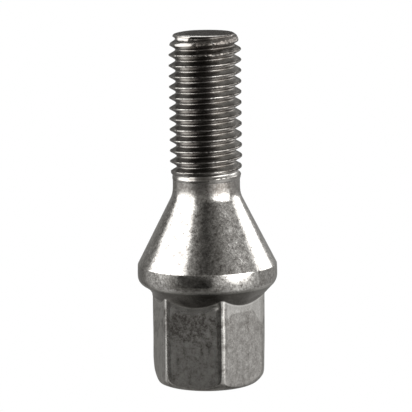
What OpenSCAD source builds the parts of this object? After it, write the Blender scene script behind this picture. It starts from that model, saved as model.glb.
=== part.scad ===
// Wheel bolt with a conical seat, a hexagon head and a rolled metric thread.
// It stands on the end of its head: z = 0 is the head end face, the axis is
// the Z axis and the thread points up. All lengths are in millimetres.
// The whole bolt is one forged and rolled piece of steel, so it is one node.

/* [Head] */
// Hexagon size across flats
hex_af = 17; // [16:0.1:18]
// Size over the six blunt corners of the hexagon
hex_over_corners = 19.1; // [18.6:0.1:19.5]
// Height at which the middle of each flat runs out under the collar
hex_h = 14.2; // [12:0.1:14.6]
// Radius of the flat disc in the middle of the head end
end_flat_r = 6.9; // [5:0.1:7.6]
// Height of the rounding between the head end and the corners
end_round_h = 4.4; // [2:0.1:6]

/* [Collar and seat] */
// Largest diameter of the collar band
collar_d = 23.04; // [21:0.02:25]
// Height at which the underside meets the rounded lower edge of the band
collar_z0 = 16.85; // [16.4:0.05:17.4]
// Height of the sharp edge between the band and the seat
collar_z1 = 20.1; // [19.2:0.1:22]
// Included angle of the conical seat, in degrees
seat_angle = 53.8; // [50:0.2:60]

/* [Shank and thread] */
// Diameter of the plain neck between the seat and the thread
neck_d = 11.04; // [10.9:0.02:11.2]
// Radius of the fillet between the seat and the neck
neck_fillet_r = 3.5; // [1.5:0.25:4]
// Height at which the rolled thread begins above the neck
thread_z0 = 34.3; // [34:0.1:37]
// Largest diameter of the thread, over its crests
thread_d = 11.84; // [11.7:0.02:12]
// Distance from one crest to the next along the axis
thread_pitch = 1.75; // [1.25:0.25:1.75]
// Direction about the axis in which the groove runs out above the neck
thread_phase = 126; // [0:2:358]
// How much of a turn the groove takes to reach its full depth
runout_turns = 0.9; // [0.5:0.05:1.5]
// Overall length from the head end to the thread tip
overall_l = 58.2; // [50:0.1:66]
// Radius of the flat end face at the thread tip
tip_face_r = 5.08; // [4.6:0.02:5.4]
// Length of the slope that leads onto the thread
tip_slope_l = 2.7; // [1.5:0.1:4]

/* [Hidden] */
steel = "#6b6a67";
corner_r = hex_over_corners / 2;
collar_r = collar_d / 2;
seat_top_r = collar_r - 0.06;
half_seat = seat_angle / 2;
neck_r = neck_d / 2;
thread_r = thread_d / 2;
thread_rise = thread_r - neck_r;
// Basic depth of an external thread with 60 degree flanks
groove_depth = 0.6134 * thread_pitch;
root_r = thread_r - groove_depth;
// Width of the groove at its root, which leaves crests an eighth of a pitch wide
root_w = thread_pitch / 6;
// How far the groove's cutter stands out past the crests
groove_out = 0.08 * thread_pitch;
// Steps in one turn of the groove
segs = 36;

// Points on an oval arc about c with half-axes a and b, from angle t0 to t1
function oval(c, a, b, t0, t1, n) =
    [for (i = [0:n]) let (t = t0 + (t1 - t0) * i / n)
        [c[0] + a * cos(t), c[1] + b * sin(t)]];

// Turned envelope of the head: end face, rounded end and blunt corners
module head_envelope() {
    rotate_extrude($fn = 96)
        polygon(concat([[0, 0]],
            oval([end_flat_r, end_round_h], corner_r - end_flat_r, end_round_h,
                -90, 0, 12),
            [[corner_r, collar_z0 - 0.6], [0, collar_z0 - 0.6]]));
}

// Hexagon with corners on the X axis, cut down to its rounded end and corners
module hex_head() {
    intersection() {
        cylinder(h = collar_z0, r = hex_af / 2 / cos(30), $fn = 6);
        head_envelope();
    }
}

// Underside, collar band, seat, fillet, neck and thread blank in one profile
module turned_body() {
    under_slope = (collar_z0 - hex_h) / (collar_r - 0.57 - hex_af / 2);
    // The fillet touches the seat cone and the neck
    f = neck_fillet_r;
    fillet_z = collar_z1 + (seat_top_r - neck_r - f) / tan(half_seat) + f / sin(half_seat);
    rotate_extrude($fn = 120)
        polygon(concat(
            [[0, hex_h - under_slope],
             [hex_af / 2 - 1, hex_h - under_slope],
             [hex_af / 2, hex_h]],
            oval([collar_r - 1.05, collar_z0 + 0.78], 0.95, 0.95, -58, -14, 5),
            [[collar_r, collar_z0 + 1.45],
             [collar_r, collar_z0 + 2.1],
             [seat_top_r, collar_z1]],
            oval([neck_r + f, fillet_z], f, f, 180 + half_seat, 180, 8),
            [[neck_r, thread_z0],
             [neck_r + 0.4 * thread_rise, thread_z0 + 0.5],
             [thread_r, thread_z0 + 2.6],
             [thread_r, overall_l - tip_slope_l],
             [tip_face_r, overall_l],
             [0, overall_l]]));
}

// One right-hand helical groove with 60 degree flanks, fading out at the neck
module thread_groove() {
    h = groove_depth + groove_out;
    out_w = root_w + 2 * h * tan(30);
    turns = ceil((overall_l - thread_z0) / thread_pitch) + 1.25;
    n = round(turns * segs);
    fade_n = runout_turns * segs;
    pts = [for (i = [0:n])
        let (a = thread_phase + i * 360 / segs,
             z = thread_z0 - 0.1 + thread_pitch * i / segs,
             r = root_r + max(0, 1 - i / fade_n) * (neck_r + 0.04 - root_r))
        each [
            [r * cos(a), r * sin(a), z - root_w / 2],
            [r * cos(a), r * sin(a), z + root_w / 2],
            [(r + h) * cos(a), (r + h) * sin(a), z + out_w / 2],
            [(r + h) * cos(a), (r + h) * sin(a), z - out_w / 2]]];
    sides = [for (i = [0:n - 1]) for (k = [0:3])
        let (p = 4 * i + k, q = 4 * i + (k + 1) % 4)
        each [[p, q + 4, q], [p, p + 4, q + 4]]];
    polyhedron(points = pts,
        faces = concat([[0, 1, 2, 3]], sides,
            [[4 * n + 3, 4 * n + 2, 4 * n + 1, 4 * n]]),
        convexity = 20);
}

module wheel_bolt() {
    color(steel) difference() {
        union() {
            hex_head();
            turned_body();
        }
        thread_groove();
    }
}

wheel_bolt();
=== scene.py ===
import math
import bpy
import numpy as np
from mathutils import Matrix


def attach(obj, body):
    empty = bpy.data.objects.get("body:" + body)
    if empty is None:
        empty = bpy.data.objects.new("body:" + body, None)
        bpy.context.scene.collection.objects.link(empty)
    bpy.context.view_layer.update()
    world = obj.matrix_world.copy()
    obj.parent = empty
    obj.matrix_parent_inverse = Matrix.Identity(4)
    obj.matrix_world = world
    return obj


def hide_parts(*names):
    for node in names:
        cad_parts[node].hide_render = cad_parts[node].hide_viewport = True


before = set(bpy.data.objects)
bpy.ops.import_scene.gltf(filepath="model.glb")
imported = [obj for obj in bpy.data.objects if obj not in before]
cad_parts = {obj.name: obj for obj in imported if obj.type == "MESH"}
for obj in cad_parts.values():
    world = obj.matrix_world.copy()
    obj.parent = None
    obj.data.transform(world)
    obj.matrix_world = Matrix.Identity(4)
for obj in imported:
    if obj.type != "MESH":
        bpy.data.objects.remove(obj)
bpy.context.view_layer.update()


scene = bpy.context.scene

# ---------------------------------------------------------------- camera
# Lengths are in millimetres up to the last step of each mesh, where MM turns them into metres.
MM = 0.001
AZ = math.radians(16.0)        # the viewing direction turns the hexagon as the photograph shows it
EL = math.radians(9.385)       # looking a little down
ROLL = -0.01227                # sine of the roll
DIST = 480.0
back = np.array([math.cos(EL) * math.sin(AZ), -math.cos(EL) * math.cos(AZ), math.sin(EL)])
right0 = np.array([math.cos(AZ), math.sin(AZ), 0.0])
up0 = np.cross(back, right0)
cr = math.sqrt(1 - ROLL * ROLL)
right = cr * right0 + ROLL * up0
up = cr * up0 - ROLL * right0
aim = np.array([0.0, 0.0, 28.69]) - 0.118 * right + 0.913 * up
eye = aim + back * DIST
cam_data = bpy.data.cameras.new("camera")
cam_data.sensor_fit = "HORIZONTAL"
cam_data.sensor_width = 36.0
cam_data.lens = 36.0 * 2917.4 / 412.0
cam_data.clip_start = 0.02
cam_data.clip_end = 20.0
cam = bpy.data.objects.new("camera", cam_data)
scene.collection.objects.link(cam)
from mathutils import Matrix
cam.matrix_world = Matrix((
    (right[0], up[0], back[0], eye[0] * MM),
    (right[1], up[1], back[1], eye[1] * MM),
    (right[2], up[2], back[2], eye[2] * MM),
    (0, 0, 0, 1)))
scene.camera = cam


# ---------------------------------------------------------------- noise for the forged surface
class Noise:
    """Smooth value noise on a lattice, the same on every run."""

    def __init__(self, seed):
        self.v = np.random.RandomState(seed).rand(4096) * 2 - 1
        self.seed = seed

    def lattice(self, i, j, k):
        h = (i * 73856093) ^ (j * 19349663) ^ (k * 83492791) ^ (self.seed * 2654435)
        h = (h ^ (h >> 13)) * 1274126177
        return self.v[(h ^ (h >> 16)) & 4095]

    def __call__(self, x, y, z):
        x, y, z = np.broadcast_arrays(x, y, z)
        i, j, k = (np.floor(q).astype(np.int64) for q in (x, y, z))
        fx, fy, fz = x - i, y - j, z - k
        fx, fy, fz = (q * q * q * (q * (q * 6 - 15) + 10) for q in (fx, fy, fz))
        out = 0.0
        for a in (0, 1):
            wx = fx if a else 1 - fx
            for b in (0, 1):
                wy = fy if b else 1 - fy
                for c in (0, 1):
                    wz = fz if c else 1 - fz
                    out = out + wx * wy * wz * self.lattice(i + a, j + b, k + c)
        return out


n1, n2, n3, n4 = Noise(3), Noise(11), Noise(29), Noise(47)


def smin(a, b, k):
    h = np.clip(0.5 + 0.5 * (b - a) / k, 0, 1)
    return b * (1 - h) + a * h - k * h * (1 - h)


def smax(a, b, k):
    return -smin(-a, -b, k)


def ramp(x, a, b):
    t = np.clip((x - a) / (b - a), 0, 1)
    return t * t * (3 - 2 * t)


# ---------------------------------------------------------------- measured shape of the bolt
N = 240                      # columns around the axis, one each 1.5 degrees
PITCH = 1.75
PHASE = 126.0                # where the groove runs out above the neck
ZG0 = 34.2                   # height of the groove's middle there
THREAD_R = 5.92
ROOT_R = 4.847
NECK_R = 5.52
TOP = 58.2
APOTHEM = 8.5
CORNER_R = {0: 9.56, 60: 9.55, 120: 9.58, 180: 9.40, 240: 9.73, 300: 9.66}   # blunt corners, cut round
END_FLAT = 6.6
SLOPE_U = 1.0816             # rise of the collar's underside
TAN30 = math.tan(math.radians(30))


def corner_of(th):
    return (np.round(th / 60.0) * 60.0).astype(int) % 360


def cut_angle(th):
    """Half the angle that the blunt corner nearest to th takes up, in degrees."""
    r = np.vectorize(CORNER_R.get)(corner_of(th))
    return 30.0 - np.degrees(np.arccos(APOTHEM / r))


def hexagon(th, k=0.085):
    """Radius of the hexagon with its six blunt corners, at the angles th in degrees."""
    psi = np.abs((th + 30.0) % 60.0 - 30.0)
    flat = APOTHEM / np.cos(np.radians(30.0 - psi))
    return smin(flat, np.vectorize(CORNER_R.get)(corner_of(th)), k)


def taper(z):
    return 1 - 0.007 * np.clip((15 - z) / 15, 0, 1)


# Radius by height of the rounded head end: at the right, on the left where it is rounder, and squarer at the front
END_A = np.array([(0, 6.6), (0.1, 7.4), (0.25, 7.85), (0.5, 8.25), (0.85, 8.62), (1.2, 8.9), (1.8, 9.26), (2.4, 9.42), (3.2, 9.55), (4.6, 9.66), (6, 9.7)])
END_B = np.array([(0, 6.6), (0.1, 7.35), (0.25, 7.78), (0.7, 8.28), (1.03, 8.5), (1.37, 8.69), (2.03, 9.0), (3.0, 9.2), (4.4, 9.4), (6, 9.55)])


END_C = np.array([(0, 6.6), (0.1, 7.4), (0.25, 7.87), (0.5, 8.36), (0.85, 8.86), (1.2, 9.2), (1.6, 9.44), (2.2, 9.58), (3, 9.66), (6, 9.7)])


def end_round(z, th):
    w = np.exp(-(((th - 180 + 180) % 360 - 180) / 38.0) ** 2)
    v = 1 - ramp(np.abs((th - 265 + 180) % 360 - 180), 42, 72)
    fa = sum(np.interp(z + d, END_A[:, 0], END_A[:, 1]) for d in (-0.1, 0, 0.1)) / 3
    fb = sum(np.interp(z + d, END_B[:, 0], END_B[:, 1]) for d in (-0.1, 0, 0.1)) / 3
    fc = sum(np.interp(z + d, END_C[:, 0], END_C[:, 1]) for d in (-0.1, 0, 0.1)) / 3
    return (fa * (1 - w) + fb * w) * (1 - v) + fc * v


def lean(z, th):
    """The head sits a hair off the axis, less so at its end."""
    return (0.06 * ramp(z, 3.0, 9.0) - 0.03 * (1 - ramp(z, 3.0, 9.0))) * np.cos(np.radians(th) - AZ)


def hollow(z, th):
    """How far the forging falls short on the left, under and at the foot of the band."""
    w = np.cos(np.radians(np.clip(np.abs((th - 196 + 180) % 360 - 180) / 52.0 * 90, 0, 90))) ** 2
    return w * np.interp(z, [14.9, 15.4, 15.8, 16.1, 16.35, 16.6, 16.9, 17.2, 17.5], [0, 0.40, 0.56, 0.63, 0.62, 0.46, 0.16, 0.05, 0])


def underside(z, th):
    return APOTHEM + (z - 14.2) / SLOPE_U - hollow(z, th)


def bezier(p0, p1, p2, p3, n):
    t = np.linspace(0, 1, n)[:, None]
    p0, p1, p2, p3 = (np.array(p) for p in (p0, p1, p2, p3))
    return (1 - t) ** 3 * p0 + 3 * t * (1 - t) ** 2 * p1 + 3 * t * t * (1 - t) * p2 + t ** 3 * p3


def turned_profile():
    """Radius and height from the underside up to the neck."""
    lower = bezier((10.98, 16.85), (11.30, 17.25), (11.52, 17.70), (11.52, 18.4), 40)
    upper = bezier((11.52, 18.4), (11.52, 19.0), (11.5, 19.6), (11.472, 20.08), 24)
    # the fillet is an arc of 3.5 mm that runs out slowly into the neck
    f, half, tail = 3.5, math.radians(26.9), 0.28
    zf = 20.08 + (11.472 - NECK_R - f) / math.tan(half) + f / math.sin(half) - 0.09
    z = np.linspace(zf - f * math.sin(half), zf + f * tail, 161)
    s = smax((zf - z) / f, 0 * z, tail)
    slope = np.tan(np.arcsin(np.clip(s, 0, math.sin(half))))
    drop = np.concatenate([[0], np.cumsum((slope[1:] + slope[:-1]) / 2 * np.diff(z))])
    r = NECK_R + drop[-1] - drop
    pick = np.linspace(0, 160, 33).astype(int)
    return lower, upper, np.stack([r, z], 1)[pick], z[-1]


lower, upper, fillet, Z_NECK = turned_profile()
Z_EDGE = 20.08
profile = np.concatenate([[[9.0, 14.2 + 0.5 * SLOPE_U]], lower, upper[1:], fillet, [[NECK_R, 40.0]]])


def turned(z):
    return np.interp(z, profile[:, 1], profile[:, 0])


BLANK = np.array([
    (32.0, 5.52), (34.2, 5.52), (34.34, 5.60), (34.7, 5.66), (35.05, 5.78), (35.6, 5.80), (36.0, 5.84), (36.5, 5.885),
    (37.0, 5.92), (55.2, 5.92), (55.6, 5.90), (56.26, 5.79), (56.9, 5.6), (57.4, 5.42), (57.77, 5.26), (58.2, 5.03), (61, 5.03)])
# How the groove starts, by turns from its beginning: root radius, shift up along the axis, slope of its lower side
START_T = [0.0, 0.19, 0.34, 0.45, 0.52, 0.60, 0.694, 0.85, 1.05, 1.25]
START_ROOT = [5.56, 5.53, 5.45, 5.44, 5.43, 5.33, 5.15, 4.97, 4.86, 4.847]
START_SHIFT = [0.30, 0.30, 0.32, 0.27, 0.30, 0.27, 0.24, 0.18, 0.06, 0.0]
START_SLOPE = [0.20, 0.20, 0.22, 0.30, 0.75, 1.05, 1.30, 1.6, 1.732, 1.732]


def blank(z):
    """Radius of the rolled shank before its groove, smoothed over 0.12 mm."""
    return sum(np.interp(z + d, BLANK[:, 0], BLANK[:, 1]) for d in (-0.06, -0.03, 0, 0.03, 0.06)) / 5


def groove(th, z):
    """Radius that the helical groove leaves, and the distance along the axis from the groove's middle."""
    t = ((th - PHASE) % 360.0) / 360.0
    T = t + np.round((z - ZG0) / PITCH - t)
    u = z - ZG0 - PITCH * T
    root = np.interp(T, START_T, START_ROOT)
    v = u - np.interp(T, START_T, START_SHIFT)
    low = np.interp(T, START_T, START_SLOPE)
    flank = root + np.where(v > 0, (v - PITCH / 12) / TAN30, (-v - PITCH / 12 * np.clip(low, 0.3, 1)) * low)
    r = smax(flank, root, 0.25 - 0.14 * (1 - ramp(T, 0.5, 1.2)))
    return np.where(T < 0.02, 99.0, r), u


def shank(th, z):
    g, u = groove(th, z)
    b = blank(z)
    a = np.radians(th)
    c, s = np.cos(a), np.sin(a)
    crest = np.clip((np.abs(u) - 0.55) / 0.25, 0, 1)
    live = ramp(z, 34.6, 36.2)
    rag = 0.022 * n1(c * 9 + 3, s * 9, z * 2.1) + 0.019 * n2(c * 22, s * 22, z * 5.0)
    b = b + rag * crest * live
    # the first turns at the tip are bruised from the front round to the right
    away = np.abs((th - 312 + 180) % 360 - 180)
    bruise = (1 - ramp(away, 30, 56)) * ramp(z, 53.6, 55.2) * (1 - ramp(z, 57.95, 58.2))
    dents = 0.5 + 0.9 * n3(c * 7, s * 7, z * 1.3) + 0.9 * n4(c * 16, s * 16, z * 3.1) + 0.4 * n2(c * 34, s * 34, z * 6.5)
    b = b - bruise * (0.3 + 0.7 * crest) * 0.085 * np.clip(dents, -0.3, 1.6)
    # on the left the last groove before the tip is half closed
    shut = (1 - ramp(np.abs((th - 241 + 180) % 360 - 180), 14, 24)) * ramp(z, 57.18, 57.36)
    g = g + shut * np.maximum(np.minimum(b - 0.04, 5.36 - 0.25 * (z - 57.3)) - g, 0)
    # the crest's edges are sharp in one place and worn in the next
    k = 0.075 + 0.075 * n4(c * 11 + 2, s * 11, z * 1.9) + 0.045 * n3(c * 25, s * 25, z * 3.7)
    return smin(b, g, np.clip(k, 0.015, 0.2) + 0.05 * bruise)


def body_radius(th, z, wave=True):
    hexa = hexagon(th) * taper(z)
    a = np.radians(th)
    head = smin(hexa, end_round(z, th), 0.09 + 0.25 * (1 - ramp(z, 0.3, 2.2))) + lean(z, th)
    col = np.where(z < 16.85, underside(z, th), turned(z) - hollow(z, th))
    r = smax(head, col, 0.05)
    r = np.where(z > 16.9, col, r)
    if wave:
        x, y = r * np.cos(a), r * np.sin(a)
        on_flat = 1 - ramp(z, 14.0, 16.0)
        r = r + on_flat * ramp(z, 0.3, 1.6) * (0.010 * n1(x * 0.28, y * 0.28, z * 0.2) + 0.003 * n2(x * 0.8, y * 0.8, z * 0.5))
        on_seat = ramp(z, 17.0, 18.0) * (1 - ramp(z, 32.0, 33.0))
        r = r + on_seat * (0.006 * n3(x * 0.35, y * 0.35, z * 0.3) + 0.0022 * n4(x * 1.1, y * 1.1, z * 1.1))
        # a small dimple beside the corner at the front, right under the collar
        d = ((((th - 294.3 + 180) % 360 - 180) / 3.8) ** 2 + ((z - 14.5) / 0.62) ** 2)
        r = r - 0.11 * np.clip(1 - d, 0, 1) ** 1.3 * (z < 15.9)
    return r


def crossing(f, lo, hi):
    lo, hi = lo + np.zeros(N), hi + np.zeros(N)
    for _ in range(40):
        m = (lo + hi) / 2
        v = f(m) > 0
        hi, lo = np.where(v, m, hi), np.where(v, lo, m)
    return (lo + hi) / 2


def spread(n, ends):
    """n + 1 numbers from 0 to 1, closer together near the ends that are named."""
    t = np.linspace(0, 1, n + 1)
    if ends == "both":
        return t - 0.72 * np.sin(2 * np.pi * t) / (2 * np.pi)
    if ends == "low":
        return t - 0.62 * np.sin(np.pi * t) / np.pi
    if ends == "high":
        return t + 0.62 * np.sin(np.pi * t) / np.pi
    return t


# ---------------------------------------------------------------- mesh of the bolt, one closed skin
theta_even = PHASE + 360.0 / N * np.arange(N)
# in the head the columns crowd towards the edges of the six blunt corners
near = np.round(theta_even / 60.0) * 60.0
k_col = np.round((theta_even - near) / 1.5).astype(int)      # -20 to 20
cut = cut_angle(theta_even)
q = np.abs(k_col)
inner = np.stack([0 * cut, 0.45 * cut, 0.72 * cut, 0.92 * cut, cut + 0.15, cut + 0.55, cut + 1.2])
grow = cut + 1.2 + (30 - cut - 1.2) * (np.clip(q - 6, 0, 14) / 14.0) ** 1.25
step_q = np.where(q <= 6, inner[np.minimum(q, 6), np.arange(N)], grow)
theta_head = near + np.sign(k_col) * step_q

rows = []                    # each row: angle, radius and height for every column


def add(th, r, z):
    rows.append((th + np.zeros(N), r + np.zeros(N), z + np.zeros(N)))


# head end disc
for q in (0.25, 0.55, 0.8, 0.95):
    add(theta_head, q * END_FLAT, 0.0)
hexr = hexagon(theta_head)
z_bottom = crossing(lambda z: end_round(z, theta_head) - hexr * taper(z), 0.0, 5.8)
z_arc = crossing(lambda z: underside(z, theta_head) - hexr * taper(z) - lean(z, theta_head), 13.0, 16.6)
for t in spread(15, "both")[:-1]:
    z = z_bottom * t
    if t == 0:
        add(theta_head, END_FLAT + lean(0.0, theta_head), 0.0)
    else:
        add(theta_head, body_radius(theta_head, z), z)
for t in spread(30, "both")[:-1]:
    z = z_bottom + (z_arc - z_bottom) * t
    add(theta_head, body_radius(theta_head, z), z)
for t in spread(16, "low")[:-1]:
    z = z_arc + (16.85 - z_arc) * t
    th = theta_head + (theta_even - theta_head) * ramp(t, 0.35, 1.0)
    add(th, body_radius(th, z), z)
# collar band along its profile, then the sharp edge, the seat and the fillet
for i in np.linspace(0, 39, 15).round().astype(int)[:-1]:   # along the lower rounding
    z = lower[i, 1] + np.zeros(N)
    add(theta_even, body_radius(theta_even, z), z)
for q in (0.0, 0.3, 0.6, 0.82, 0.93, 0.98):
    z = 18.4 + (Z_EDGE - 18.4) * q + np.zeros(N)
    add(theta_even, body_radius(theta_even, z), z)
z_fillet = fillet[0, 1]
add(theta_even, body_radius(theta_even, Z_EDGE - 0.005 + np.zeros(N)) - 0.004, Z_EDGE)
for t in spread(46, "low")[1:-1]:
    z = Z_EDGE + 0.03 + (z_fillet - Z_EDGE - 0.03) * t + np.zeros(N)
    add(theta_even, body_radius(theta_even, z), z)
for t in np.linspace(0, 1, 13)[:-1]:
    z = z_fillet + (Z_NECK - z_fillet) * t + np.zeros(N)
    add(theta_even, body_radius(theta_even, z), z)

# threaded shank: the rows follow the helix, sixteen to a turn, so that its edges stay sharp
turn = np.arange(N) / N
us = np.array([-0.82, -0.765, -0.705, -0.52, -0.31, -0.21, -0.12, -0.04, 0.04, 0.12, 0.21, 0.31, 0.52, 0.705, 0.765, 0.82, 0.875])
rise = [ZG0 + PITCH * m + u for m in range(-1, 15) for u in us]
rise = [z for z in rise if 32.77 < z < 58.55]
first = rise[0] + PITCH * turn
for t in np.linspace(0, 1, 7)[:-1]:
    z = Z_NECK + (first - Z_NECK) * t
    add(theta_even, shank(theta_even, z), z)
KAPPA = 2.0
body_rows = len(rows)
path = [r[2] for r in rows]  # distance along the skin, which orders the points of the two sides of the seam
rim = shank(theta_even, TOP + np.zeros(N))
S = np.array([z + PITCH * turn for z in rise])
BEVEL = 0.11
for j in range(N):           # the row nearest the rim of the end face lies on it, and the next one ends its small bevel
    k = int(np.argmin(np.abs(S[:, j] - TOP)))
    S[k, j] = TOP
    if k + 1 < len(S):
        S[k + 1, j] = TOP + BEVEL
last_s = TOP + (np.min(rim) - 0.5) / KAPPA
for t in np.linspace(0, 1, 10)[1:]:
    S = np.concatenate([S, (S[len(rise) - 1] + (last_s - S[len(rise) - 1]) * t)[None]])
a = np.radians(theta_even)
burr = 0.6 * n2(np.cos(a) * 13, np.sin(a) * 13, 0.5) + 0.6 * n4(np.cos(a) * 31, np.sin(a) * 31, 2.5)
# the end face hangs a little on the left, and a small bevel runs round it
dip = 0.11 * ramp(-rim * np.cos(a - AZ), 1.8, 5.4)
z_rim = TOP - 0.12 - 0.025 * burr - dip
rim = shank(theta_even, z_rim) + 0.015 * burr
for s in S:
    over = np.maximum(s - TOP, 0)
    z = np.minimum(s, TOP)
    z = z - (TOP - z_rim) * ramp(s, TOP - 0.7, TOP)
    r = shank(theta_even, z)
    r = np.where(s >= TOP, rim - KAPPA * over, r)
    z = np.where(over > 0, TOP - 0.11 * ramp(-r * np.cos(a - AZ), 1.8, 5.4), z)
    add(theta_even, np.maximum(r, 0.4), z)
    path.append(s)

TH = np.array([r[0] for r in rows])
R = np.array([r[1] for r in rows])
Z = np.array([r[2] for r in rows])
PATH = np.array(path)
# before the shank the path is only used in order
PATH[:body_rows] = np.minimum.accumulate(PATH[:body_rows][::-1])[::-1]
rad = np.radians(TH)
verts = np.stack([R * np.cos(rad), R * np.sin(rad), Z], -1).reshape(-1, 3)
M = len(rows)
idx = np.arange(M * N).reshape(M, N)
tris = []
a, b = idx[:-1, :-1], idx[:-1, 1:]
c, d = idx[1:, :-1], idx[1:, 1:]
tris.append(np.stack([a, b, c], -1).reshape(-1, 3))
tris.append(np.stack([b, d, c], -1).reshape(-1, 3))
# the seam: body rows meet level, shank rows meet one turn higher
neck_row = body_rows - 6
seam = []
for i in range(neck_row):
    seam += [(idx[i, N - 1], idx[i, 0], idx[i + 1, N - 1]), (idx[i, 0], idx[i + 1, 0], idx[i + 1, N - 1])]
i = j = neck_row
while i < M - 1 or j < M - 1:
    up_left = i < M - 1 and (j == M - 1 or PATH[i + 1, N - 1] <= PATH[j + 1, 0])
    if up_left:
        seam.append((idx[i, N - 1], idx[j, 0], idx[i + 1, N - 1]))
        i += 1
    else:
        seam.append((idx[i, N - 1], idx[j, 0], idx[j + 1, 0]))
        j += 1
tris.append(np.array(seam))
bottom, topc = len(verts), len(verts) + 1
verts = np.concatenate([verts, [[0, 0, 0], [0, 0, TOP]]])
j0, j1 = np.arange(N), (np.arange(N) + 1) % N
tris.append(np.stack([np.full(N, bottom), idx[0, j1], idx[0, j0]], -1))
tris.append(np.stack([np.full(N, topc), idx[M - 1, j0], idx[M - 1, j1]], -1))
tris = np.concatenate(tris)

mesh = bpy.data.meshes.new("wheel_bolt_forged")
mesh.from_pydata((verts * MM).tolist(), [], tris.tolist())
mesh.validate()
mesh.polygons.foreach_set("use_smooth", np.ones(len(mesh.polygons), dtype=bool))
bolt = bpy.data.objects.new("wheel_bolt_forged", mesh)
scene.collection.objects.link(bolt)
# crisp edges where the end faces meet the sides
mesh.update()
mesh.set_sharp_from_angle(angle=math.radians(38.0))


# ---------------------------------------------------------------- materials
def new_material(name):
    m = bpy.data.materials.new(name)
    m.use_nodes = True
    nt = m.node_tree
    nt.nodes.clear()
    return m, nt


def node(nt, kind, **kw):
    n = nt.nodes.new(kind)
    for k, v in kw.items():
        setattr(n, k, v)
    return n


def math_node(nt, op, a, b=None, clamp=False):
    n = node(nt, "ShaderNodeMath", operation=op, use_clamp=clamp)
    for i, v in enumerate((a, b)):
        if v is None:
            continue
        if isinstance(v, (int, float)):
            n.inputs[i].default_value = v
        else:
            nt.links.new(v, n.inputs[i])
    return n.outputs[0]


steel, nt = new_material("forged_steel")
out = node(nt, "ShaderNodeOutputMaterial")
bsdf = node(nt, "ShaderNodeBsdfPrincipled")
nt.links.new(bsdf.outputs[0], out.inputs[0])
bsdf.inputs["Metallic"].default_value = 1.0

place = node(nt, "ShaderNodeTexCoord")
in_mm = node(nt, "ShaderNodeVectorMath", operation="SCALE")
nt.links.new(place.outputs["Object"], in_mm.inputs[0])
in_mm.inputs["Scale"].default_value = 1000.0
xyz = node(nt, "ShaderNodeSeparateXYZ")
nt.links.new(in_mm.outputs[0], xyz.inputs[0])
px, py, pz = xyz.outputs


def m_(op, a, b=None, clamp=False):
    return math_node(nt, op, a, b, clamp)


def fade(value, lo, hi, a=0.0, b=1.0):
    """a below lo and b above hi, smooth between."""
    n = node(nt, "ShaderNodeMapRange", interpolation_type="SMOOTHSTEP")
    nt.links.new(value, n.inputs["Value"])
    for name, v in (("From Min", lo), ("From Max", hi), ("To Min", a), ("To Max", b)):
        n.inputs[name].default_value = v
    return n.outputs["Result"]


def noise(per_mm, detail, rough, stretch=(1, 1, 1), at=(0, 0, 0)):
    """Noise around 0, about -0.3 to 0.3, with per_mm features to a millimetre."""
    m = node(nt, "ShaderNodeMapping")
    nt.links.new(in_mm.outputs[0], m.inputs["Vector"])
    m.inputs["Location"].default_value = at
    m.inputs["Scale"].default_value = tuple(per_mm * q for q in stretch)
    n = node(nt, "ShaderNodeTexNoise")
    nt.links.new(m.outputs[0], n.inputs["Vector"])
    n.inputs["Scale"].default_value = 1.0
    n.inputs["Detail"].default_value = detail
    n.inputs["Roughness"].default_value = rough
    return m_("SUBTRACT", n.outputs[0], 0.5)


def add_(*v):
    out = v[0]
    for q in v[1:]:
        out = m_("ADD", out, q)
    return out


def mul_(*v):
    out = v[0]
    for q in v[1:]:
        out = m_("MULTIPLY", out, q)
    return out


rr = m_("SQRT", add_(mul_(px, px), mul_(py, py)))
# depth below the arc in which the collar meets the flats; negative on the collar
below = m_("SUBTRACT", add_(14.2 - 8.5 * 1.08, mul_(rr, 1.08)), pz)
head = fade(below, 0.0, 0.12)
seat = mul_(fade(pz, 17.1, 17.5), fade(pz, 34.0, 34.6, 1.0, 0.0))
rim_zone = mul_(fade(pz, 16.75, 16.95), fade(pz, 17.25, 17.7, 1.0, 0.0))
under = mul_(m_("SUBTRACT", 1.0, head), fade(pz, 16.75, 16.95, 1.0, 0.0))
thread = fade(pz, 34.2, 34.9)
# the roots of the thread: painted darker, as painted shade in the hollows, and rougher
deep = mul_(thread, fade(rr, 5.0, 5.85, 1.0, 0.0))
corner = mul_(head, fade(rr, 9.28, 9.42))

grain = noise(3.4, 2.0, 0.6)
fine = noise(7.5, 1.0, 0.5, at=(3, 7, 1))
mottle = noise(0.95, 4.0, 0.68, at=(9, 2, 5))
smear = noise(1.5, 3.0, 0.6, stretch=(1, 1, 0.22), at=(1, 8, 3))
cloud = noise(0.33, 2.0, 0.5, at=(4, 4, 4))
streak = noise(1.0, 3.0, 0.6, stretch=(0.5, 0.5, 6.5), at=(2, 6, 8))

clump = noise(2.1, 3.0, 0.7, at=(5, 5, 9))
ang = m_("MULTIPLY", m_("ARCTAN2", py, px), 180 / math.pi)
# flats of the head: a burnished rim just below the arc, deeper beside one corner
burn = mul_(head, fade(m_("DIVIDE", below, fade(ang, -24.0, -4.0, 1.0, 4.2)), 0.55, 1.15, 1.0, 0.0))
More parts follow.
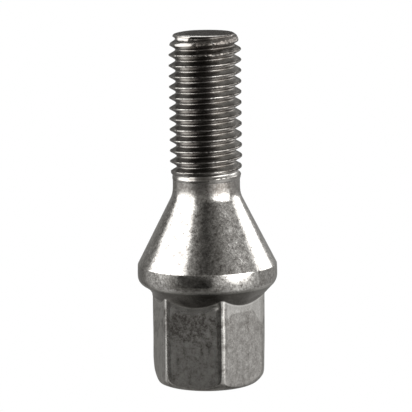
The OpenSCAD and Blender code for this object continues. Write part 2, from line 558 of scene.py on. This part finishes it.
# clumps of dark spots below it, thickest on the front flat
stain = fade(m_("SQRT", add_(mul_(m_("SUBTRACT", px, -1.6), m_("SUBTRACT", px, -1.6), 0.4), mul_(m_("SUBTRACT", pz, 11.2), m_("SUBTRACT", pz, 11.2)),
                             mul_(m_("SUBTRACT", py, -8.5), m_("SUBTRACT", py, -8.5)))), 0.8, 4.6, 1.0, 0.0)
region = fade(m_("SUBTRACT", mul_(stain, 0.22), add_(mul_(mottle, 0.9), mul_(cloud, 0.5))), -0.04, 0.18)
swell = noise(0.95, 1.0, 0.5, at=(9, 2, 5))
speck = fade(m_("MULTIPLY", add_(mul_(grain, 0.45), noise(1.7, 5.0, 0.8, at=(7, 3, 2))), -1.0), -0.20, 0.20)
along = add_(mul_(px, 0.5), mul_(py, 0.8660254))          # distance along the right flat, from its middle
ragged = add_(mul_(mottle, 0.9), mul_(clump, 0.4))
pale = mul_(head, fade(ang, -57.5, -55.0), fade(ang, -3.5, -1.5, 1.0, 0.0), m_("MAXIMUM",
            fade(add_(pz, ragged, fade(along, -4.4, -2.4, 0.8, 0.0)), 12.85, 13.35),
            mul_(fade(add_(m_("SUBTRACT", along, 2.17), mul_(m_("SUBTRACT", pz, 12.9), 0.71), mul_(ragged, 0.4)), -0.12, 0.12), fade(pz, 10.3, 11.0))))
spots = mul_(region, add_(0.22, mul_(speck, 0.78)), mul_(fade(below, 0.7, 1.5), fade(below, 3.5, 8.5, 1.0, 0.35)))
rim_line = mul_(head, fade(below, 0.16, 0.40, 1.0, 0.0))
neck = mul_(fade(pz, 31.6, 33.0), fade(pz, 34.0, 34.5, 1.0, 0.0))
# one flat came out of the die a little darker and smoother than its neighbours
smooth_flat = mul_(head, fade(ang, -57.5, -55.0), fade(ang, -3.5, -1.5, 1.0, 0.0))
# the bruised first turns at the tip, from the front round to the right
tip_side = mul_(fade(ang, -100.0, -80.0), fade(ang, -2.0, 14.0, 1.0, 0.0))
scuff = mul_(tip_side, fade(pz, 53.6, 55.6), fade(pz, 58.12, 58.19, 1.0, 0.0), thread)
face = mul_(fade(pz, 58.02, 58.07), fade(rr, 4.82, 4.90, 1.0, 0.0))
# a painted highlight along the edge round the end face, with small teeth in it at the front left
rim_highlight = mul_(fade(pz, 57.88, 57.96), fade(rr, 4.84, 4.90), fade(rr, 5.16, 5.20, 1.0, 0.0))
teeth = mul_(m_("SINE", m_("MULTIPLY", ang, 2.6)), fade(ang, -124.0, -118.0), fade(ang, -86.0, -76.0, 1.0, 0.0))
# painted shade: a dark line in the crease just under the edge of the end face, at the front left
crease_shade = mul_(fade(pz, 57.78, 57.83), fade(pz, 57.89, 57.94, 1.0, 0.0), fade(ang, -142.0, -132.0), fade(ang, -100.0, -90.0, 1.0, 0.0))
flank = mul_(thread, fade(rr, 4.88, 5.08), fade(rr, 5.55, 5.82, 1.0, 0.0), fade(pz, 55.4, 56.4, 1.0, 0.0))
# the thread's flanks are painted lighter on the right and on the left, as painted highlights, and its front between
# them is painted darker, as painted shade; on the right the rest of it is painted darker too, and the surface there is
# rougher
body = mul_(thread, fade(pz, 58.0, 58.05, 1.0, 0.0))
right_side = mul_(body, fade(ang, -62.0, -36.0), fade(ang, 10.0, 40.0, 1.0, 0.0))
left_flank_highlight = mul_(body, fade(ang, -160.0, -140.0), fade(ang, -112.0, -100.0, 1.0, 0.0))
front_thread_shade = mul_(body, fade(ang, -112.0, -100.0), fade(ang, -76.0, -58.0, 1.0, 0.0))
edge_right = mul_(corner, fade(ang, -6.0, -3.0), fade(ang, 3.0, 6.0, 1.0, 0.0))


def scratch(p, q, width):
    """1 on a straight mark from p to q, in millimetres, and 0 beside it."""
    p, q = np.array(p), np.array(q)
    length = float(np.linalg.norm(q - p))
    way = tuple((q - p) / length)
    off = node(nt, "ShaderNodeVectorMath", operation="SUBTRACT")
    nt.links.new(in_mm.outputs[0], off.inputs[0])
    off.inputs[1].default_value = tuple(p)
    beside = node(nt, "ShaderNodeVectorMath", operation="CROSS_PRODUCT")
    nt.links.new(off.outputs[0], beside.inputs[0])
    beside.inputs[1].default_value = way
    size = node(nt, "ShaderNodeVectorMath", operation="LENGTH")
    nt.links.new(beside.outputs[0], size.inputs[0])
    along = node(nt, "ShaderNodeVectorMath", operation="DOT_PRODUCT")
    nt.links.new(off.outputs[0], along.inputs[0])
    along.inputs[1].default_value = way
    t = along.outputs["Value"]
    return mul_(fade(size.outputs["Value"], width * 0.4, width, 1.0, 0.0), fade(t, -0.1, 0.1), fade(t, length - 0.1, length + 0.1, 1.0, 0.0))


# a few light scratches and one dark nick on the seat
marks = mul_(seat, add_(mul_(scratch((7.34, -7.13, 22.53), (7.68, -7.02, 22.24), 0.11), 0.8),
                        mul_(scratch((7.68, -7.02, 22.24), (7.90, -6.98, 21.92), 0.10), 0.7),
                        mul_(scratch((5.62, -7.20, 24.70), (5.93, -7.11, 24.45), 0.12), 0.8),
                        mul_(scratch((0.08, -6.11, 30.65), (0.18, -6.84, 29.21), 0.17), 0.45),
                        mul_(scratch((-0.05, -6.92, 29.05), (0.68, -6.80, 29.22), 0.12), -0.40)))
value = add_(1.0,
             mul_(grain, add_(mul_(head, 0.78), mul_(burn, -0.4), mul_(pale, -0.3), mul_(corner, -0.3), mul_(seat, 1.8), mul_(neck, -0.9), mul_(rim_zone, 1.2), mul_(under, 0.7), mul_(thread, 0.4))),
             mul_(fine, add_(mul_(head, 0.65), mul_(corner, -0.2), mul_(seat, 1.05), mul_(neck, -0.6), mul_(rim_zone, 1.0), mul_(under, 0.4), mul_(thread, 0.4))),
             mul_(mottle, add_(mul_(head, 1.3), mul_(smooth_flat, -0.4), mul_(burn, -0.4), mul_(pale, -0.3), mul_(seat, 1.35), mul_(neck, -0.1), mul_(face, 1.2), mul_(under, 0.7), mul_(scuff, 2.4))),
             mul_(clump, add_(mul_(head, 0.7), mul_(burn, -0.3), mul_(pale, -0.2), mul_(seat, 1.8), mul_(neck, -1.2), mul_(under, 0.5), mul_(scuff, 2.6))),
             mul_(smear, add_(mul_(head, 0.8), mul_(smooth_flat, -0.3))),
             mul_(cloud, 0.22),
             mul_(streak, mul_(thread, 1.1)),
             mul_(spots, mul_(m_("SUBTRACT", head, mul_(smooth_flat, 0.85)), -0.95)),
             mul_(rim_line, 0.32),
             marks,
             mul_(smooth_flat, -0.39),
             mul_(pale, 0.40),
             mul_(scratch((0.9, -8.6, 8.6), (0.9, -8.6, 8.8), 0.6), 0.20),
             mul_(edge_right, 0.12),
             # the neck is darker all round, and painted shade makes it darker still across its front
             mul_(neck, m_("SUBTRACT", mul_(fade(ang, -80.0, -60.0), fade(ang, -36.0, -20.0, 1.0, 0.0), -0.22), 0.30)),
             # painted shade: the underside of the collar, over the head, is darker
             mul_(under, -0.36),
             mul_(burn, m_("SUBTRACT", 0.24, mul_(smooth_flat, 0.20))),
             mul_(head, 0.21),
             mul_(seat, -0.09),
             mul_(corner, -0.18),
             mul_(corner, fade(ang, -128.0, -122.0), fade(ang, -118.0, -112.0, 1.0, 0.0), 0.26),
             mul_(rim_zone, 0.25),
             mul_(thread, -0.33),
             mul_(scuff, -0.32),
             # the end face is darker, and painted light makes it lighter towards the left, where it stands for a
             # chamfer that catches the light
             mul_(face, m_("SUBTRACT", fade(add_(mul_(px, 0.961), mul_(py, 0.276)), -4.2, -1.9, 0.46, 0.0), 0.25)),
             # painted shade in the roots of the thread
             mul_(deep, -0.10),
             # painted highlight on the edge round the end face
             mul_(rim_highlight, add_(0.60, mul_(teeth, 0.45))),
             # painted shade in the crease under the end face's edge
             mul_(crease_shade, -0.55),
             # painted highlights on the thread's flanks at the sides, painted shade at its front
             mul_(right_side, m_("SUBTRACT", mul_(flank, 0.85), 0.36)),
             mul_(left_flank_highlight, flank, 0.25),
             mul_(front_thread_shade, -0.17))
tint = node(nt, "ShaderNodeMix", data_type="RGBA")
nt.links.new(m_("MULTIPLY", m_("MAXIMUM", value, 0.26), 0.5, True), tint.inputs[0])
tint.inputs[6].default_value = (0.018, 0.011, 0.006, 1)
tint.inputs[7].default_value = (0.502, 0.492, 0.470, 1)
nt.links.new(tint.outputs[2], bsdf.inputs["Base Color"])

rough = add_(0.125, mul_(head, 0.16), mul_(burn, -0.05), mul_(seat, 0.05), mul_(neck, 0.17), mul_(right_side, 0.08), mul_(smooth_flat, -0.04), mul_(rim_zone, 0.16), mul_(under, 0.05), mul_(thread, 0.06),
             mul_(corner, -0.05), mul_(deep, 0.06), mul_(scuff, 0.10), mul_(mottle, 0.12), mul_(spots, mul_(head, 0.08)))
nt.links.new(m_("MAXIMUM", rough, 0.08), bsdf.inputs["Roughness"])

height = add_(mul_(grain, add_(mul_(head, 0.45), mul_(corner, -0.35), mul_(seat, 0.14), mul_(neck, -0.10), mul_(rim_zone, 1.0), mul_(under, 0.3), mul_(thread, 0.2), mul_(scuff, 1.2))),
              mul_(fine, add_(mul_(head, 0.25), mul_(seat, 0.04), mul_(thread, 0.1))),
              mul_(clump, add_(mul_(head, 0.5), mul_(corner, -0.3), mul_(seat, 0.06), mul_(neck, 0.06), mul_(scuff, 1.5))),
              mul_(swell, 0.9), mul_(mottle, mul_(m_("SUBTRACT", 1.0, seat), 0.4)), mul_(streak, mul_(thread, 0.45)))
bump = node(nt, "ShaderNodeBump")
bump.inputs["Strength"].default_value = 1.0
bump.inputs["Distance"].default_value = 0.000012
nt.links.new(height, bump.inputs["Height"])
nt.links.new(bump.outputs[0], bsdf.inputs["Normal"])
mesh.materials.append(steel)

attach(bolt, "root")
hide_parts("wheel_bolt")

# ---------------------------------------------------------------- floor
floor_mesh = bpy.data.meshes.new("floor")
ring = 96
LOW = -0.00003               # a hair under the head end, so that the two don't share a plane
fv = [(0.0, 0.0, LOW)] + [(3.0 * math.cos(2 * math.pi * i / ring), 3.0 * math.sin(2 * math.pi * i / ring), LOW) for i in range(ring)]
floor_mesh.from_pydata(fv, [], [(0, 1 + i, 1 + (i + 1) % ring) for i in range(ring)])
floor = bpy.data.objects.new("floor", floor_mesh)
scene.collection.objects.link(floor)
floor.visible_glossy = False
floor.visible_diffuse = False
pale, nt = new_material("pale_floor")
out = node(nt, "ShaderNodeOutputMaterial")
em = node(nt, "ShaderNodeEmission")
em.inputs[0].default_value = (1, 1, 1, 1)
em.inputs[1].default_value = 1.0
nt.links.new(em.outputs[0], out.inputs[0])
floor_mesh.materials.append(pale)

# ---------------------------------------------------------------- light: a dark studio with soft boxes, all in the world
world = bpy.data.worlds.new("studio")
scene.world = world
world.use_nodes = True
wt = world.node_tree
wt.nodes.clear()
REF = 0.25                   # how much of the light the steel sends back


def tone(t):
    """Light that the steel shows as the grey t, from 0 to 255."""
    q = t / 255.0
    q = q / 12.92 if q <= 0.04045 else ((q + 0.055) / 1.055) ** 2.4
    return q / REF


coord = node(wt, "ShaderNodeTexCoord")


def dot(v):
    n = node(wt, "ShaderNodeVectorMath", operation="DOT_PRODUCT")
    wt.links.new(coord.outputs["Generated"], n.inputs[0])
    n.inputs[1].default_value = v
    return n.outputs["Value"]


dx = dot((math.cos(AZ), math.sin(AZ), 0.0))
dy = dot((math.sin(AZ), -math.cos(AZ), 0.0))
dz = dot((0.0, 0.0, 1.0))
az = math_node(wt, "MULTIPLY", math_node(wt, "ARCTAN2", dx, dy), 180 / math.pi)
el = math_node(wt, "MULTIPLY", math_node(wt, "ARCSINE", dz), 180 / math.pi)


def step(value, at, soft):
    """0 below at and 1 above it, turning over the width soft on each side."""
    n = node(wt, "ShaderNodeMapRange", interpolation_type="SMOOTHSTEP")
    wt.links.new(value, n.inputs["Value"])
    n.inputs["From Min"].default_value = at - soft
    n.inputs["From Max"].default_value = at + soft
    return n.outputs["Result"]


def times(*v):
    out = v[0]
    for q in v[1:]:
        out = math_node(wt, "MULTIPLY", out, q)
    return out


def minus(a, b):
    return math_node(wt, "SUBTRACT", a, b)


def plus(a, b):
    return math_node(wt, "ADD", a, b)


def panel(a0, a1, e0, e1, left=2.0, right=2.0, edge=2.0):
    """1 inside a part of the studio's wall and 0 outside, turning over these widths at its edges."""
    return times(minus(step(az, a0, left), step(az, a1, right)), minus(step(el, e0, edge), step(el, e1, edge)))


def outside(value, at, size, power, both_sides=True):
    """0 at the value at, 1 a size away, as a power of the distance."""
    d = times(minus(value, at), 1.0 / size)
    d = math_node(wt, "ABSOLUTE", d) if both_sides else math_node(wt, "MAXIMUM", times(d, -1.0), 0.0)
    return math_node(wt, "POWER", d, power)


def window(a0, wa, e0, we, top, power, soft):
    """Soft box with upright sides, rounded off below and cut at the top."""
    d = plus(outside(az, a0, wa, power), outside(el, e0, we, power, False))
    return times(minus(1.0, step(d, 1.0, soft)), minus(1.0, step(el, top, 3.0)))


def shade(light, where, keep):
    """A dark flag lets this share of the light through."""
    return times(light, minus(1.0, times(where, 1.0 - keep)))


# walls: straight below, floor, below the horizon and above it
light = plus(tone(22), times(step(el, -76.0, 8.0), tone(75) - tone(22)))
light = plus(light, times(step(el, -2.0, 5.0), tone(90) - tone(75)))
light = shade(light, times(step(math_node(wt, "ABSOLUTE", az), 163.0, 15.0), step(el, 3.0, 6.0)), 0.09)
# reflecting boards: left, right, and the paler wall on the right
light = plus(light, times(panel(-120, -66, -55, -2, 18, 17, 9), tone(141) - tone(75)))
light = plus(light, times(panel(37, 86, -56, 4, 20, 20, 9), tone(174) - tone(118)))
light = plus(light, times(panel(6, 148, -47, 75, 12, 25, 9), tone(118) - tone(75)))
# dim skirt around the left soft box
light = plus(light, times(window(-70, 44, 18, 26, 44, 2.5, 0.35), tone(112) - tone(90)))
# dark flags at the front: a faint tall one, a deep one just below the horizon, one overhead
light = shade(light, panel(-39, 8, -68, 20, 28, 2, 8), 0.88)
light = shade(light, panel(-39, 8, -27, -5, 28, 1.8, 6), 0.15)
light = shade(light, panel(-60, -30, -9.5, -1, 8, 8, 3), 0.45)
light = shade(light, panel(-19, 37, 36, 80, 12, 22, 4), 0.28)
light = shade(light, panel(-62, -19, 57, 84, 10, 10, 4), 0.40)
# soft boxes: left, right, far right and behind
light = plus(light, times(window(-79, 35.0, 15, 18.5, 50, 2.5, 0.52), 6.0))
oval = plus(plus(outside(az, 54, 29, 2.3), outside(el, 12, 20.5, 3.0, False)), outside(times(el, -1.0), -13, 17.5, 3.6, False))
light = plus(light, times(minus(1.0, step(oval, 1.0, 0.25)), 7.6))
light = plus(light, times(panel(18, 66, -9, 5, 8, 20, 3.5), 1.4))
light = plus(light, times(panel(100, 135, 7, 32, 7, 4, 4), 6.2))
light = plus(light, times(step(math_node(wt, "ABSOLUTE", az), 152.0, 6.0), minus(step(el, 36.0, 4.0), step(el, 76.0, 4.0)), 3.4))
shine = node(wt, "ShaderNodeBackground")
# the dim parts of the studio are a little warmer than the lamps
warm = node(wt, "ShaderNodeMix", data_type="RGBA")
wt.links.new(math_node(wt, "MULTIPLY", light, 1.0, True), warm.inputs[0])
warm.inputs[6].default_value = (1.03, 1.0, 0.945, 1)
warm.inputs[7].default_value = (1, 1, 1, 1)
wt.links.new(warm.outputs[2], shine.inputs["Color"])
wt.links.new(light, shine.inputs["Strength"])
white = node(wt, "ShaderNodeBackground")
white.inputs["Color"].default_value = (1, 1, 1, 1)
path_node = node(wt, "ShaderNodeLightPath")
both = node(wt, "ShaderNodeMixShader")
wt.links.new(path_node.outputs["Is Camera Ray"], both.inputs[0])
wt.links.new(shine.outputs[0], both.inputs[1])
wt.links.new(white.outputs[0], both.inputs[2])
wout = node(wt, "ShaderNodeOutputWorld")
wt.links.new(both.outputs[0], wout.inputs[0])
scene.view_settings.view_transform = "Standard"
